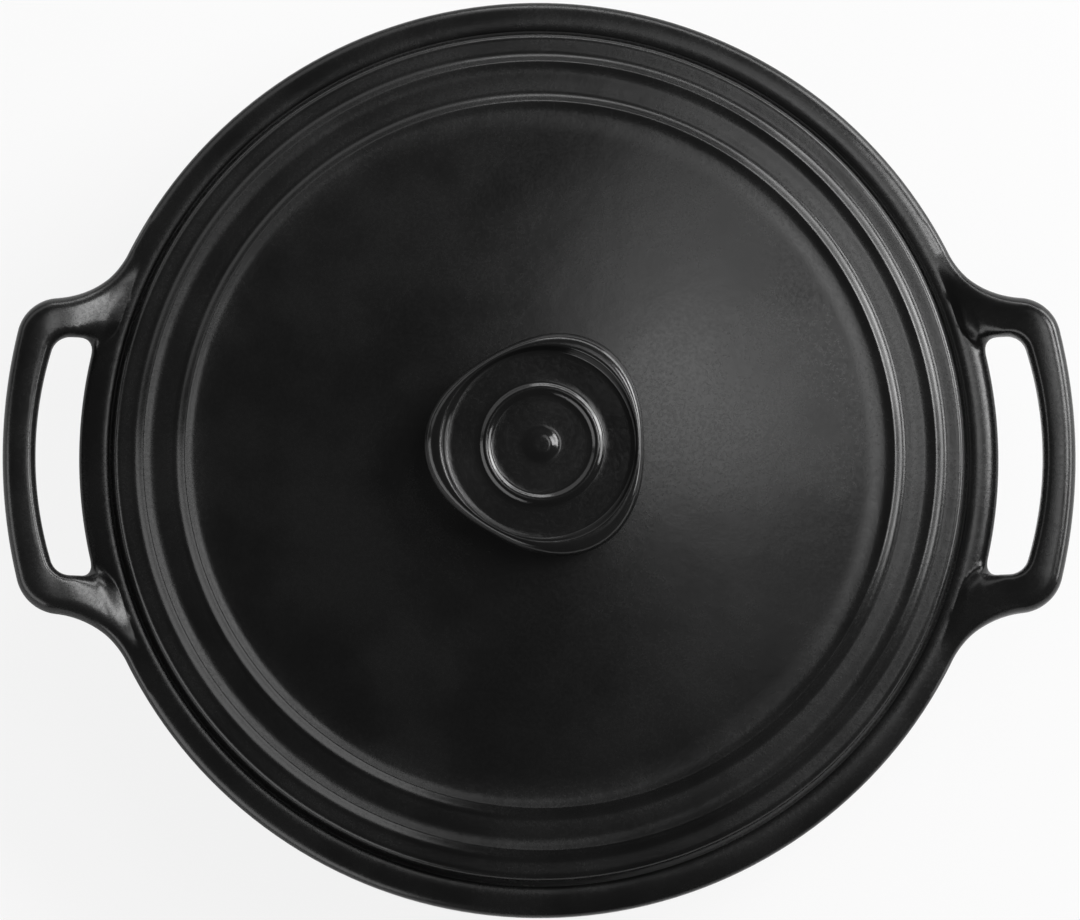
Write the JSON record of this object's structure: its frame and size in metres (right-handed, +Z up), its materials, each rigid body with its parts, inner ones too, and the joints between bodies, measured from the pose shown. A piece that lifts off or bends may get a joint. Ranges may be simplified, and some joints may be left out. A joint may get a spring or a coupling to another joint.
{
  "type": "sauteuse pan",
  "caption": "Low round glazed-ceramic sauteuse with two loop handles in one piece with the pan, and a stepped lid with a dished three-lobed knob.",
  "frame": {"origin": "centre of the foot ring, on the surface that the pan stands on", "axes": "+Z up along the pan's axis, X through both handles"},
  "size_m": [0.3488, 0.3, 0.1159],
  "materials": {
    "pan_glaze": "satin black glaze with a fine mottled grain",
    "lid_glaze": "satin black glaze with a fine mottled grain, glossier in the knob's dish"
  },
  "bodies": {
    "root": {"pan": "pan_glaze", "lid": "lid_glaze"}
  },
  "joints": []
}
